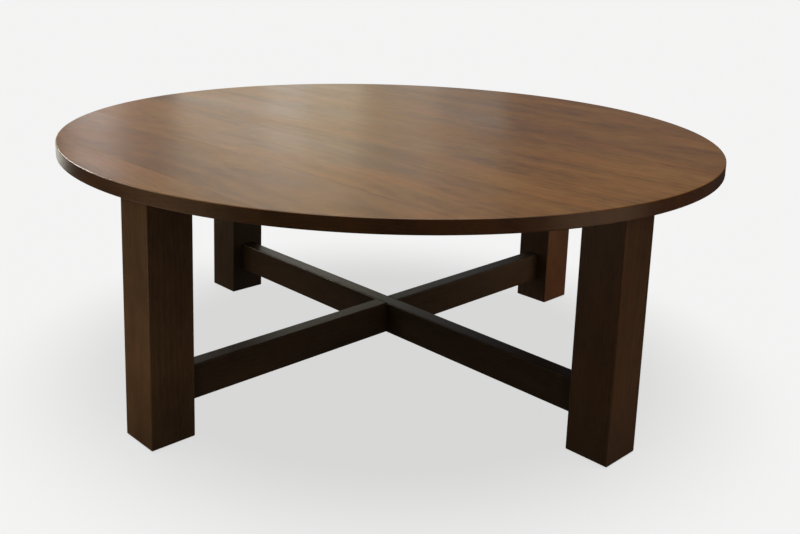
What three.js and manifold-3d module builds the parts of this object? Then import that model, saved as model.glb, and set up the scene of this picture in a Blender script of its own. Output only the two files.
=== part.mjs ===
// A round coffee table: a top of edge-glued boards on four square legs, tied together by two crosses of
// half-lapped rails. The lower cross runs close to the floor, the upper one lies hidden under the top.
//
// Frame: millimetres, +Z up, the origin on the floor under the middle of the top. The boards run along X.
// One rail of each cross runs along X and the other along Y, with a leg at each end. Left, right, front
// and back are as seen from the (+X, -Y) side.
import * as THREE from 'three';
import { mergeVertices } from 'three/addons/utils/BufferGeometryUtils.js';
import Module from 'manifold-3d';

const wasm = await Module();
wasm.setup();

// Driving dimensions of the top
const tableHeight = 450;
const topDiameter = 1200;
const topThickness = 22.5;
const topArris = 1.5;
// Where the boards meet: distances from the middle along Y, as shares of the top's radius
const seamShares = [-0.873, -0.587, -0.3, -0.013, 0.273, 0.56, 0.847];

// Driving dimensions of the legs
const legWidth = 79;
const legInset = 57.5; // from the top's edge to the leg's outer face
const legArris = 1.5;

// Driving dimensions of the rails
const lowerRailThickness = 29;
const lowerRailHeight = 60;
const lowerRailLift = 52; // from the floor to the underside
const upperRailThickness = 35;
const upperRailHeight = 45;
const railArris = 2;

// Driving dimensions of the joints
const tenonLength = 45;
const tenonThickness = 12;
const tenonShoulder = 8;
const fitGap = 0.3; // left between any two pieces that are fitted or seated
const overrun = 5; // how far a cutting body runs past the wood

// Driving dimensions of the brackets and their screws
const bracketWidth = 24;
const bracketLegClearance = 21.5; // from the leg's inner face to the outer bracket
const bracketSpacing = 170; // from the outer bracket to the inner one, middle to middle
const bracketFlange = 28;
const bracketGauge = 2.5;
const bracketSlotLength = 12;
const screwPlaceShare = 0.6; // of the flange, from the bracket's corner
const screwLength = 15;
const screwShankDiameter = 4;
const screwHeadDiameter = 8;
const screwHeadHeight = 2.6;
const screwHeadCrownShare = 0.6;
const screwPointShare = 0.3;

// Driving dimensions of the foot glides
const glideDiameter = 28;
const glideHeadHeight = 4;
const glideProud = 2; // how far the glide holds the leg off the floor
const glideRecessPlay = 1;
const glideEdge = 0.8;
const glidePinDiameter = 5;
const glidePinLength = 16;

// Facets of the round shapes
const topSegments = 240;
const boreSegments = 24;
const screwSegments = 16;
const glideSegments = 32;

// Places that follow
const legCircleRadius = topDiameter / 2 - legInset - legWidth / 2;
const legInnerFace = legCircleRadius - legWidth / 2;
const underside = tableHeight - topThickness;
const legTop = underside - fitGap;
const upperRailLift = legTop - upperRailHeight;

const topMaterial = new THREE.MeshStandardMaterial({ color: 0x7a4a2c, roughness: 0.35, metalness: 0 });
const frameMaterial = new THREE.MeshStandardMaterial({ color: 0x4e2f1d, roughness: 0.5, metalness: 0 });
const steelMaterial = new THREE.MeshStandardMaterial({ color: 0x9c9a94, roughness: 0.4, metalness: 1 });
const nylonMaterial = new THREE.MeshStandardMaterial({ color: 0x1e1b19, roughness: 0.6, metalness: 0 });

const quarterTurn = Math.PI / 2;

// A closed geometry as a solid that can be cut and joined
function solidOf(geometry) {
  const bare = geometry.clone();
  bare.deleteAttribute('normal');
  bare.deleteAttribute('uv');
  const merged = mergeVertices(bare);
  const corners = merged.index.array;
  const kept = [];
  for (let i = 0; i < corners.length; i += 3) {
    const [a, b, c] = corners.subarray(i, i + 3);
    if (a !== b && b !== c && c !== a) kept.push(a, b, c);
  }
  return new wasm.Manifold(new wasm.Mesh({
    numProp: 3,
    vertProperties: Float32Array.from(merged.getAttribute('position').array),
    triVerts: Uint32Array.from(kept),
  }));
}

// A cut or joined solid as a geometry again
function geometryOf(solid) {
  const { vertProperties, triVerts } = solid.getMesh();
  const geometry = new THREE.BufferGeometry();
  geometry.setAttribute('position', new THREE.BufferAttribute(Float32Array.from(vertProperties), 3));
  geometry.setIndex(new THREE.BufferAttribute(Uint32Array.from(triVerts), 1));
  geometry.computeVertexNormals();
  return geometry;
}

// A block between two corners
function block(low, high) {
  const size = new THREE.Vector3().subVectors(high, low);
  const middle = new THREE.Vector3().addVectors(low, high).multiplyScalar(0.5);
  const geometry = new THREE.BoxGeometry(size.x, size.y, size.z);
  return solidOf(geometry.translate(middle.x, middle.y, middle.z));
}

// A round bar on +Z from one height to another
function roundBar(diameter, low, high, segments) {
  const geometry = new THREE.CylinderGeometry(diameter / 2, diameter / 2, high - low, segments);
  return solidOf(geometry.rotateX(quarterTurn).translate(0, 0, (low + high) / 2));
}

// A profile of [radius, height] points, from the bottom of the axis to its top, turned about +Z
function turned(profile, segments) {
  const points = profile.map(([radius, height]) => new THREE.Vector2(radius, height));
  return solidOf(new THREE.LatheGeometry(points, segments).rotateX(quarterTurn));
}

// A rectangle centred on the origin with its corners clipped
function clippedRectangle(width, height, clip) {
  const x = width / 2;
  const y = height / 2;
  return new THREE.Shape([
    new THREE.Vector2(-x + clip, -y),
    new THREE.Vector2(x - clip, -y),
    new THREE.Vector2(x, -y + clip),
    new THREE.Vector2(x, y - clip),
    new THREE.Vector2(x - clip, y),
    new THREE.Vector2(-x + clip, y),
    new THREE.Vector2(-x, y - clip),
    new THREE.Vector2(-x, -y + clip),
  ]);
}

function namedMesh(name, solid, material) {
  const mesh = new THREE.Mesh(geometryOf(solid), material);
  mesh.name = name;
  return mesh;
}

// The arms of the crosses, each turned about +Z from +X, with its leg's name
const arms = [
  { side: 'front_right', turn: 0 },
  { side: 'back_right', turn: quarterTurn },
  { side: 'back_left', turn: 2 * quarterTurn },
  { side: 'front_left', turn: 3 * quarterTurn },
];

// The brackets of one arm that runs along +X, by their distance from the table's middle: one on each flank
const outerBracketReach = legInnerFace - bracketLegClearance - bracketWidth / 2;
const bracketPlaces = [
  { label: 'outer', reach: outerBracketReach, flank: 1 },
  { label: 'inner', reach: outerBracketReach - bracketSpacing, flank: -1 },
];

const bracketFace = upperRailThickness / 2 + fitGap;
const screwPlace = bracketFlange * screwPlaceShare;
const screwSeat = bracketGauge + fitGap;
const pilotDiameter = screwShankDiameter + 2 * fitGap;
const pilotDepth = screwLength - screwSeat + fitGap;

// The top: a disc with eased edges, drilled from below and parted into boards along X
function topDisc() {
  const radius = topDiameter / 2;
  return turned([
    [0, underside],
    [radius - topArris, underside],
    [radius, underside + topArris],
    [radius, tableHeight - topArris],
    [radius - topArris, tableHeight],
    [0, tableHeight],
  ], topSegments);
}

function topPilotHoles() {
  const holes = [];
  for (const arm of arms) {
    for (const place of bracketPlaces) {
      const centre = new THREE.Vector3(place.reach, place.flank * (bracketFace + screwPlace), 0);
      centre.applyAxisAngle(new THREE.Vector3(0, 0, 1), arm.turn);
      const hole = roundBar(pilotDiameter, underside - overrun, underside + pilotDepth, boreSegments);
      holes.push(hole.translate([centre.x, centre.y, 0]));
    }
  }
  return holes;
}

function topBoards() {
  const group = new THREE.Group();
  const radius = topDiameter / 2;
  const drilled = topPilotHoles().reduce((wood, hole) => wood.subtract(hole), topDisc());
  const seams = [-radius - overrun, ...seamShares.map((share) => radius * share), radius + overrun];
  for (let i = 1; i < seams.length; i += 1) {
    const low = new THREE.Vector3(-radius - overrun, seams[i - 1] + fitGap / 2, underside - overrun);
    const high = new THREE.Vector3(radius + overrun, seams[i] - fitGap / 2, tableHeight + overrun);
    group.add(namedMesh(`top_board_${i}`, drilled.intersect(block(low, high)), topMaterial));
  }
  return group;
}

// A leg at the end of an arm along +X, standing on its own axis, mortised on its inner face
function mortise(lift, height) {
  const inner = -legWidth / 2;
  const depth = tenonLength + fitGap;
  const halfWidth = tenonThickness / 2 + fitGap;
  return block(
    new THREE.Vector3(inner - overrun, -halfWidth, lift + tenonShoulder - fitGap),
    new THREE.Vector3(inner + depth, halfWidth, lift + height - tenonShoulder + fitGap),
  );
}

function glideBore() {
  const recess = glideDiameter + 2 * glideRecessPlay;
  const head = roundBar(recess, glideProud - overrun, glideHeadHeight + fitGap, glideSegments);
  const pinTop = glideHeadHeight + glidePinLength + fitGap;
  return head.add(roundBar(glidePinDiameter + 2 * fitGap, glideProud, pinTop, boreSegments));
}

function legSolid() {
  const stock = new THREE.ExtrudeGeometry(clippedRectangle(legWidth, legWidth, legArris), {
    depth: legTop - glideProud,
    bevelThickness: legArris,
    bevelSize: legArris,
    bevelOffset: -legArris,
    bevelSegments: 1,
  });
  const long = solidOf(stock.translate(0, 0, glideProud + legArris));
  const half = legWidth / 2 + overrun;
  const aboveTop = block(
    new THREE.Vector3(-half, -half, legTop),
    new THREE.Vector3(half, half, legTop + legWidth),
  );
  return long
    .subtract(aboveTop)
    .subtract(mortise(lowerRailLift, lowerRailHeight))
    .subtract(mortise(upperRailLift, upperRailHeight))
    .subtract(glideBore());
}

// A foot glide: a flat head with eased edges and a pointed pin
function glideSolid() {
  const head = glideDiameter / 2;
  const pin = glidePinDiameter / 2;
  return turned([
    [0, 0],
    [head - glideEdge, 0],
    [head, glideEdge],
    [head, glideHeadHeight],
    [pin, glideHeadHeight],
    [pin, glideHeadHeight + glidePinLength - glidePinDiameter],
    [0, glideHeadHeight + glidePinLength],
  ], glideSegments);
}

// A rail along X with its underside at height zero: eased stock, a tenon at each end and half a lap
function railSolid({ thickness, height, crossing, over }) {
  const shoulder = legInnerFace - fitGap;
  const stock = new THREE.ExtrudeGeometry(clippedRectangle(thickness, height, railArris), {
    depth: 2 * shoulder,
    bevelEnabled: false,
  });
  const alongX = new THREE.Matrix4().makeBasis(
    new THREE.Vector3(0, 1, 0),
    new THREE.Vector3(0, 0, 1),
    new THREE.Vector3(1, 0, 0),
  );
  const body = solidOf(stock.applyMatrix4(alongX).translate(-shoulder, 0, height / 2));
  const tenons = block(
    new THREE.Vector3(-shoulder - tenonLength, -tenonThickness / 2, tenonShoulder),
    new THREE.Vector3(shoulder + tenonLength, tenonThickness / 2, height - tenonShoulder),
  );
  const lapHalf = crossing / 2 + fitGap;
  const lapMiddle = height / 2;
  const lap = block(
    new THREE.Vector3(-lapHalf, -thickness, over ? -overrun : lapMiddle - fitGap / 2),
    new THREE.Vector3(lapHalf, thickness, over ? lapMiddle + fitGap / 2 : height + overrun),
  );
  return body.add(tenons).subtract(lap);
}

// The pilot holes in the flanks of an upper rail that runs along X
function railPilotHoles() {
  const holes = [];
  const level = upperRailHeight - screwPlace;
  const flank = upperRailThickness / 2;
  for (const armSign of [1, -1]) {
    for (const place of bracketPlaces) {
      const side = armSign * place.flank;
      const hole = roundBar(pilotDiameter, -pilotDepth, overrun, boreSegments);
      const lying = hole.rotate([-90 * side, 0, 0]);
      holes.push(lying.translate([armSign * place.reach, side * flank, level]));
    }
  }
  return holes;
}

function rails() {
  const group = new THREE.Group();
  const lower = { thickness: lowerRailThickness, height: lowerRailHeight, crossing: lowerRailThickness };
  const upper = { thickness: upperRailThickness, height: upperRailHeight, crossing: upperRailThickness };
  for (const over of [true, false]) {
    const label = over ? 'over' : 'under';
    const turn = over ? 0 : quarterTurn;
    const lowerRail = namedMesh(`lower_rail_${label}`, railSolid({ ...lower, over }), frameMaterial);
    lowerRail.position.z = lowerRailLift;
    lowerRail.rotation.z = turn;
    const drilled = railPilotHoles().reduce((wood, hole) => wood.subtract(hole), railSolid({ ...upper, over }));
    const upperRail = namedMesh(`upper_rail_${label}`, drilled, frameMaterial);
    upperRail.position.z = upperRailLift;
    upperRail.rotation.z = turn;
    group.add(lowerRail, upperRail);
  }
  return group;
}

// A bracket in its own frame: its corner on X, one flange down the rail (-Z), one out under the top (+Y)
function bracketSolid(slotAcross) {
  const profile = new THREE.Shape([
    new THREE.Vector2(0, 0),
    new THREE.Vector2(0, -bracketFlange),
    new THREE.Vector2(bracketGauge, -bracketFlange),
    new THREE.Vector2(bracketGauge, -bracketGauge),
    new THREE.Vector2(bracketFlange, -bracketGauge),
    new THREE.Vector2(bracketFlange, 0),
  ]);
  const strip = new THREE.ExtrudeGeometry(profile, { depth: bracketWidth, bevelEnabled: false });
  const alongX = new THREE.Matrix4().makeBasis(
    new THREE.Vector3(0, 1, 0),
    new THREE.Vector3(0, 0, 1),
    new THREE.Vector3(1, 0, 0),
  );
  const angle = solidOf(strip.applyMatrix4(alongX).translate(-bracketWidth / 2, 0, 0));
  const railHole = roundBar(pilotDiameter, -overrun, overrun, boreSegments)
    .rotate([90, 0, 0])
    .translate([0, 0, -screwPlace]);
  const slotEnd = (bracketSlotLength - pilotDiameter) / 2;
  const slotStep = slotAcross ? new THREE.Vector3(0, slotEnd, 0) : new THREE.Vector3(slotEnd, 0, 0);
  const slotSide = slotAcross ? new THREE.Vector3(1, 0, 0) : new THREE.Vector3(0, 1, 0);
  const slotReach = slotSide.multiplyScalar(pilotDiameter / 2).add(slotStep);
  const slotMiddle = block(
    new THREE.Vector3(-slotReach.x, -slotReach.y, -overrun),
    new THREE.Vector3(slotReach.x, slotReach.y, overrun),
  );
  const slotEnds = [1, -1].map((sign) => roundBar(pilotDiameter, -overrun, overrun, boreSegments)
    .translate([sign * slotStep.x, sign * slotStep.y, 0]));
  const slot = slotEnds.reduce((joined, end) => joined.add(end), slotMiddle);
  return angle.subtract(railHole).subtract(slot.translate([0, screwPlace, 0]));
}

// A pan-head screw with its head's seat at height zero, its point up
function screwSolid() {
  const head = screwHeadDiameter / 2;
  const shank = screwShankDiameter / 2;
  return turned([
    [0, -screwHeadHeight],
    [head * screwHeadCrownShare, -screwHeadHeight],
    [head, -screwHeadHeight * screwHeadCrownShare],
    [head, 0],
    [shank, 0],
    [shank, screwLength * (1 - screwPointShare)],
    [0, screwLength],
  ], screwSegments);
}

// One bracket with its two screws, as it sits on the +Y flank of a rail
function bracketSet(name, slotAcross) {
  const set = new THREE.Group();
  const bracket = namedMesh(name, bracketSolid(slotAcross), steelMaterial);
  const railScrew = namedMesh(`${name}_rail_screw`, screwSolid(), steelMaterial);
  railScrew.rotation.x = quarterTurn;
  railScrew.position.set(0, screwSeat, -screwPlace);
  const topScrew = namedMesh(`${name}_top_screw`, screwSolid(), steelMaterial);
  topScrew.position.set(0, screwPlace, -screwSeat);
  set.add(bracket, railScrew, topScrew);
  return set;
}

// Everything that an arm carries: its leg, its glide and its brackets
function armSet({ side, turn }) {
  const arm = new THREE.Group();
  arm.rotation.z = turn;
  const leg = namedMesh(`leg_${side}`, legSolid(), frameMaterial);
  const glide = namedMesh(`glide_${side}`, glideSolid(), nylonMaterial);
  leg.position.x = legCircleRadius;
  glide.position.x = legCircleRadius;
  arm.add(leg, glide);
  const alongBoards = Math.abs(Math.cos(turn)) > Math.abs(Math.sin(turn));
  for (const { label, reach, flank } of bracketPlaces) {
    const set = bracketSet(`bracket_${side}_${label}`, alongBoards);
    set.position.set(reach, flank * bracketFace, underside - fitGap);
    set.rotation.z = flank > 0 ? 0 : 2 * quarterTurn;
    arm.add(set);
  }
  return arm;
}

const table = new THREE.Group();
table.add(topBoards(), rails());
for (const arm of arms) table.add(armSet(arm));

export default table;
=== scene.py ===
"""Looks of a round coffee table with crossed rails: stained wood, zinc plated brackets and nylon foot glides.

Lengths are metres and +Z is up. The origin is on the floor under the middle of the top. The boards of the top
run along X. One rail of each cross runs along X and the other along Y, and a leg stands at the end of each
arm.
"""
import sys
import logging
import math
from dataclasses import dataclass
from enum import Enum

import bmesh
import bpy
import numpy as np
from mathutils import Matrix, Vector


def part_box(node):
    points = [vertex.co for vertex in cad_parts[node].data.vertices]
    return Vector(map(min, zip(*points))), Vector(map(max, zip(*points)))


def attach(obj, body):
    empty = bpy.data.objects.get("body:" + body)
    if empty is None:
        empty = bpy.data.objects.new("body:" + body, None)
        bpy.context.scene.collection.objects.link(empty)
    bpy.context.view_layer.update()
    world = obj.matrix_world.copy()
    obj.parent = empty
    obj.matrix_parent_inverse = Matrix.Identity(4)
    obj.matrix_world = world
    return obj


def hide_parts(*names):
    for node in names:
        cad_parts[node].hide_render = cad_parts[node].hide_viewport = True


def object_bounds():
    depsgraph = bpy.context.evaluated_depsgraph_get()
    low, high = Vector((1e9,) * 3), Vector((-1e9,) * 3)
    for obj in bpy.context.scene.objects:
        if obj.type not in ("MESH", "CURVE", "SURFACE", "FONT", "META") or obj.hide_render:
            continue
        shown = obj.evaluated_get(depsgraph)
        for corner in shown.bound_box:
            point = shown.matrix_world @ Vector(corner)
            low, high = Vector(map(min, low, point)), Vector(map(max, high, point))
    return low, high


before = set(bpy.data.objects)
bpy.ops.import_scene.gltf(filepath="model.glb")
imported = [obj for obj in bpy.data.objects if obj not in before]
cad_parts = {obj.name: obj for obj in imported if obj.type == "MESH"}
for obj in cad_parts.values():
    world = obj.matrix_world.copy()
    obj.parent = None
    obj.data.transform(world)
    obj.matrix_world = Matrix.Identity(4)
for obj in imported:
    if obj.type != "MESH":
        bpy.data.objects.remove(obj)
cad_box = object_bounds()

log = logging.getLogger("coffee_table")

MM = 0.001
BODY = "root"
SUPPORT = 0.4 * MM  # how far beside an eased edge the flat face gets a line of points that keeps it flat
MERGE = 0.002 * MM  # points closer than this are one point
SHARP_ANGLE = math.radians(26)
BORE_SIDES = 32
SMALL_HOLE_SIDES = 24
MIX_FIRST, MIX_SECOND, MIX_RESULT = 6, 7, 2  # places of a Mix node's two colours and of its mixed colour

Colour = tuple[float, float, float]
Point = tuple[float, float, float]
Span = tuple[float, float]
Socket = bpy.types.NodeSocket

BLACK: Colour = (0.0, 0.0, 0.0)
WHITE: Colour = (1.0, 1.0, 1.0)


class Grain(Enum):
    """The way the fibres of a piece run, as the turn that lays them along X."""

    ALONG_X = (0.0, 0.0, 0.0)
    ALONG_Y = (0.0, 0.0, -math.pi / 2)
    ALONG_Z = (0.0, math.pi / 2, 0.0)


class Lap(Enum):
    """Which half of the crossing a rail keeps: the one on top, or the one below."""

    OVER = "over"
    UNDER = "under"


class Level(Enum):
    """Which cross a rail belongs to: the one near the floor, or the one under the top."""

    LOWER = "lower"
    UPPER = "upper"


class Side(Enum):
    """Where the legs stand, in the order of their angles from X."""

    FRONT_RIGHT = "front_right"
    BACK_RIGHT = "back_right"
    BACK_LEFT = "back_left"
    FRONT_LEFT = "front_left"


class Slot(Enum):
    """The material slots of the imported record."""

    TOP_WOOD = "top_wood"
    FRAME_WOOD = "frame_wood"
    ZINC_STEEL = "zinc_steel"
    GLIDE_NYLON = "glide_nylon"


@dataclass
class Surface:
    """A surface worked out as whole arrays.

    Args:
        points: The points, one row each.
        faces: The faces, as lists of rows of points, counterclockwise from outside.
        arris: For each point, 1 on an eased edge and 0 on the flat faces beside it.
    """

    points: np.ndarray
    faces: list[list[int]]
    arris: np.ndarray

    def placed(self, matrix: Matrix) -> "Surface":
        """The surface moved and turned by a matrix."""
        turn = np.array(matrix, float)
        return Surface(self.points @ turn[:3, :3].T + turn[:3, 3], self.faces, self.arris)


def loft(rings: np.ndarray, arris: np.ndarray) -> Surface:
    """Skins a stack of rings and closes both ends.

    Row k, column n of the skin is point n of ring k, so the skin is a surface of two parameters: the way
    round the ring and the way along the stack. Each end is one flat face.

    Args:
        rings: Points of the rings, shape (rings, points, 3), counterclockwise about the stack's direction.
        arris: The share of eased edge at each of these points, shape (rings, points).

    Returns:
        The closed skin.
    """
    count, length = rings.shape[:2]
    rows = np.arange(count * length).reshape(count, length)
    nexts = np.roll(rows, -1, axis=1)
    quads = np.stack([rows[:-1], nexts[:-1], nexts[1:], rows[1:]], axis=-1).reshape(-1, 4)
    ends = [rows[0, ::-1].tolist(), rows[-1].tolist()]
    return Surface(rings.reshape(-1, 3), quads.tolist() + ends, arris.reshape(-1))


def carried(
    outlines: np.ndarray,
    arris: np.ndarray,
    places: np.ndarray,
    across: Point | np.ndarray,
    up: Point | np.ndarray,
) -> Surface:
    """Carries an outline along a path.

    The point (u, v) of the outline at station k lies at place k plus u times the across direction plus v
    times the up direction.

    Args:
        outlines: Flat outlines, shape (stations, points, 2).
        arris: The share of eased edge at each of these points, shape (stations, points).
        places: The middle of each station, shape (stations, 3).
        across: Unit direction of u, the same all along or one row for each station.
        up: Unit direction of v, likewise. The path runs along across times up.

    Returns:
        The closed skin.
    """
    u_way = np.reshape(across, (-1, 1, 3))
    v_way = np.reshape(up, (-1, 1, 3))
    rings = places[:, None, :] + outlines[..., :1] * u_way + outlines[..., 1:] * v_way
    return loft(rings, arris)


def risen(
    outlines: np.ndarray, arris: np.ndarray, heights: np.ndarray | Span, x: float = 0.0, y: float = 0.0
) -> Surface:
    """Carries an outline up Z: the point (u, v) of the outline at height h lies at (x + u, y + v, h).

    Args:
        outlines: Flat outlines, shape (heights, points, 2).
        arris: The share of eased edge at each of these points, shape (heights, points).
        heights: The height of each outline, from the bottom up.
        x: Where the outlines' middle lies along X.
        y: Where it lies along Y.

    Returns:
        The closed skin.
    """
    places = np.stack(np.broadcast_arrays(x, y, heights), axis=-1)
    return carried(outlines, arris, places, (1, 0, 0), (0, 1, 0))


def swept(radii: np.ndarray, heights: np.ndarray, segments: int) -> Surface:
    """Sweeps rows of radii about Z: the point at angle t of a row lies at (r cos t, r sin t, h).

    Args:
        radii: The rows' radii, shape (rows, segments), or (rows, 1) where they are the same all round.
        heights: The rows' heights, from the bottom up.
        segments: How many steps the sweep has.

    Returns:
        The closed skin.
    """
    angles = np.linspace(0, 2 * np.pi, segments, endpoint=False)
    levels = np.broadcast_to(heights[:, None], (len(heights), segments))
    rings = np.stack([radii * np.cos(angles), radii * np.sin(angles), levels], axis=-1)
    return loft(rings, np.zeros(levels.shape))


def quarter_turn(steps: int) -> np.ndarray:
    """The angles from 0 to a quarter turn in even steps, both ends included."""
    return np.linspace(0, np.pi / 2, steps + 1)


def eased_rectangle(
    half_u: float, half_v: float, radius: float, steps: int = 4, support: float = SUPPORT
) -> tuple[np.ndarray, np.ndarray]:
    """Outline of a rectangle with round corners, counterclockwise.

    Each corner is a quarter circle, centre plus radius times (cos t, sin t), with one more point on the flat
    before it and one after it.

    Args:
        half_u: Half the width.
        half_v: Half the height.
        radius: Radius of the corners.
        steps: How many chords each corner has.
        support: How far the points on the flats lie from the corners.

    Returns:
        The points, shape (points, 2), and the share of eased edge at each.
    """
    starts = np.arange(4) * np.pi / 2
    angles = starts[:, None] + quarter_turn(steps)
    signs = np.array([[1, 1], [-1, 1], [-1, -1], [1, -1]])
    centres = signs * [half_u - radius, half_v - radius]
    arcs = centres[:, None, :] + radius * np.stack([np.cos(angles), np.sin(angles)], axis=-1)
    way = np.stack([-np.sin(angles), np.cos(angles)], axis=-1)
    before = arcs[:, :1] - support * way[:, :1]
    after = arcs[:, -1:] + support * way[:, -1:]
    eased = np.zeros((4, steps + 3))
    eased[:, 2:-2] = 1
    return np.concatenate([before, arcs, after], axis=1).reshape(-1, 2), eased.reshape(-1)


def eased_edge(radius: float, steps: int = 4) -> tuple[np.ndarray, np.ndarray, np.ndarray]:
    """The way from the middle of a flat end, round its eased edge, to the side wall.

    At angle t, from 0 to a quarter turn, the edge lies radius times (1 - sin t) in from the wall and radius
    times (1 - cos t) away from the end. One more point lies on the end before it and one on the wall after.

    Args:
        radius: Radius of the edge.
        steps: How many chords it has.

    Returns:
        The inset from the wall, the depth from the end and the share of eased edge, one value for each point.
    """
    sweep = quarter_turn(steps)
    inset = np.concatenate([[radius + SUPPORT], radius * (1 - np.sin(sweep)), [0.0]])
    depth = np.concatenate([[0.0], radius * (1 - np.cos(sweep)), [radius + SUPPORT]])
    eased = np.zeros(steps + 3)
    eased[2:-2] = 1
    return inset, depth, eased


def bar(diameter: float, low: float, high: float, segments: int = BORE_SIDES) -> Surface:
    """A round bar on Z between two heights, used to cut holes."""
    return swept(np.full((2, 1), diameter / 2), np.array([low, high]), segments)


def block(low: Point, high: Point) -> Surface:
    """A block, used to cut mortises and laps.

    Args:
        low: Its lowest corner.
        high: Its highest corner.

    Returns:
        The closed block.
    """
    (x0, y0, z0), (x1, y1, z1) = low, high
    outline = np.array([[x0, y0], [x1, y0], [x1, y1], [x0, y1]])
    return risen(np.stack([outline, outline]), np.zeros((2, 4)), (z0, z1))


def mesh_of(surface: Surface, name: str) -> bpy.types.Mesh:
    """Puts a surface into a mesh, with its points merged where they meet and its arris attribute kept.

    Args:
        surface: The surface.
        name: The mesh's name.

    Returns:
        The mesh.
    """
    mesh = bpy.data.meshes.new(name)
    mesh.from_pydata(surface.points.tolist(), [], surface.faces)
    arris = mesh.attributes.new("arris", "FLOAT", "POINT")
    arris.data.foreach_set("value", surface.arris.astype(np.float32))
    shell = bmesh.new()
    shell.from_mesh(mesh)
    bmesh.ops.remove_doubles(shell, verts=shell.verts, dist=MERGE)
    shell.to_mesh(mesh)
    shell.free()
    return mesh


def shown(name: str, data: bpy.types.ID) -> bpy.types.Object:
    """Links a new object into the scene.

    Args:
        name: The object's name.
        data: The mesh, light or camera that it shows.

    Returns:
        The object, at the origin.
    """
    made = bpy.data.objects.new(name, data)
    bpy.context.scene.collection.objects.link(made)
    return made


def carved(mesh: bpy.types.Mesh, cutters: list[Surface]) -> bpy.types.Mesh:
    """Cuts closed shapes out of a mesh, one after another.

    Args:
        mesh: The mesh to cut.
        cutters: What is cut away.

    Returns:
        The cut mesh, under the same name.
    """
    name = mesh.name
    for cutter in cutters:
        body = shown("carving", mesh)
        tool = shown("cutter", mesh_of(cutter, "cutter"))
        cut = body.modifiers.new("cut", "BOOLEAN")
        cut.operation = "DIFFERENCE"
        cut.solver = "EXACT"
        cut.object = tool
        graph = bpy.context.evaluated_depsgraph_get()
        result = bpy.data.meshes.new_from_object(
            body.evaluated_get(graph), preserve_all_data_layers=True, depsgraph=graph
        )
        spent = [mesh, tool.data]
        for thing in (body, tool):
            bpy.data.objects.remove(thing)
        for data in spent:
            bpy.data.meshes.remove(data)
        mesh = result
    mesh.name = name
    return mesh


def open_edges(mesh: bpy.types.Mesh) -> int:
    """Counts the edges that don't have exactly two faces.

    Args:
        mesh: The mesh to look at.

    Returns:
        How many there are. A closed mesh has none.
    """
    shell = bmesh.new()
    shell.from_mesh(mesh)
    count = sum(not edge.is_manifold for edge in shell.edges)
    shell.free()
    return count


def settled(mesh: bpy.types.Mesh, name: str, slot: Slot, node: str, material: bpy.types.Material) -> None:
    """Makes a finished piece of a mesh: smooth shading, its material and body, and hides its node.

    Args:
        mesh: The piece's mesh, in place.
        name: The piece's name.
        slot: The record's material slot that it takes its finish from. Not used.
        node: The node that it stands for.
        material: Its material.
    """
    mesh.polygons.foreach_set("use_smooth", np.ones(len(mesh.polygons), bool))
    mesh.set_sharp_from_angle(angle=SHARP_ANGLE)
    mesh.materials.clear()
    mesh.materials.append(material)
    piece = shown(name, mesh)
    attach(piece, BODY)
    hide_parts(node)
    log.info("%s: %d faces, %d open edges, for %s", name, len(mesh.polygons), open_edges(mesh), node)


def nodes_like(start: str = "", end: str = "") -> list[str]:
    """The frame's nodes whose names have this start and this end, in the frame's order."""
    return [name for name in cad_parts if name.startswith(start) and name.endswith(end)]


def counted(step: Point, number: int) -> Point:
    """A step taken so many times over."""
    return tuple(part * number for part in step)


@dataclass(frozen=True)
class Pattern:
    """A kind of soft noise.

    Args:
        scale: How often it changes in a metre, along each axis.
        detail: How many finer layers it has.
        rough: How much each finer layer counts.
    """

    scale: Point
    detail: float
    rough: float = 0.5


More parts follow.
